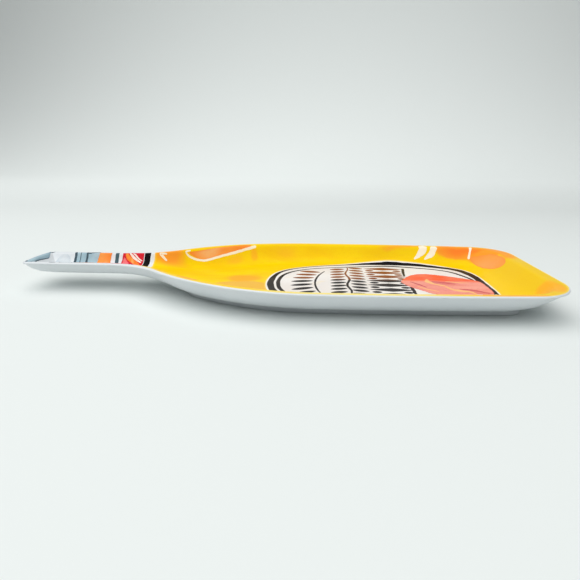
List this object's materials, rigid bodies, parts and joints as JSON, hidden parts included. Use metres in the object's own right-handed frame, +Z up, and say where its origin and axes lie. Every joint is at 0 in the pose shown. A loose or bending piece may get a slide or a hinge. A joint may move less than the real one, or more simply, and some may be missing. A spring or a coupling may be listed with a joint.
{
  "type": "serving tray",
  "caption": "Long shallow bottle-shaped serving tray with sloping walls, a rounded lip, a channelled neck handle, a low foot ring and a painterly printed face.",
  "frame": {"origin": "middle of the outline's box, on the plane that the foot ring rests on", "axes": "+X along the bottle from the neck handle to the base end, +Y across, +Z up out of the dish"},
  "size_m": [0.378, 0.151, 0.0228],
  "materials": {
    "melamine_white": "glossy moulded melamine, fine orange peel",
    "melamine_foot": "same melamine, lightly scuffed where it rests",
    "ink_grey_wash": "watercolour print under clear glaze",
    "ink_pale_blue": "watercolour print under clear glaze",
    "ink_grey_line": "brush line under clear glaze",
    "ink_soft_orange": "watercolour print under clear glaze",
    "ink_slate": "solid print under clear glaze",
    "ink_red": "watercolour print under clear glaze",
    "ink_white_stroke": "bare paper-white strokes under clear glaze",
    "ink_black": "solid print under clear glaze",
    "ink_yellow": "watercolour print under clear glaze",
    "ink_orange_blot": "watercolour print under clear glaze",
    "ink_cream_stroke": "opaque brush strokes under clear glaze",
    "ink_label_white": "off-white print under clear glaze",
    "ink_charcoal": "brush line under clear glaze",
    "ink_charcoal_rule": "brush line under clear glaze",
    "ink_brown_leaf": "brush ornament under clear glaze",
    "ink_brown_vine": "brush ornament under clear glaze",
    "ink_brown_lozenge": "brush ornament under clear glaze",
    "ink_coral": "watercolour print under clear glaze",
    "ink_cream_wave": "opaque brush stroke under clear glaze"
  },
  "bodies": {
    "root": {"tray_shell": "melamine_white", "foot_ring": "melamine_foot", "cap_tip_wash": "ink_grey_wash", "cap_pale_band": "ink_pale_blue", "cap_lines": "ink_grey_line", "cap_orange_band": "ink_soft_orange", "neck_slate_band": "ink_slate", "neck_red_band": "ink_red", "neck_red_band_strokes": "ink_white_stroke", "neck_black_band": "ink_black", "body_field": "ink_yellow", "field_blots": "ink_orange_blot", "field_highlights": "ink_cream_stroke", "label_panel": "ink_label_white", "label_border": "ink_charcoal", "label_rules": "ink_charcoal_rule", "label_leaf_row": "ink_brown_leaf", "label_vine_row": "ink_brown_vine", "label_lozenge_row": "ink_brown_lozenge", "label_emblem": "ink_coral", "label_emblem_wave": "ink_cream_wave"}
  },
  "joints": []
}
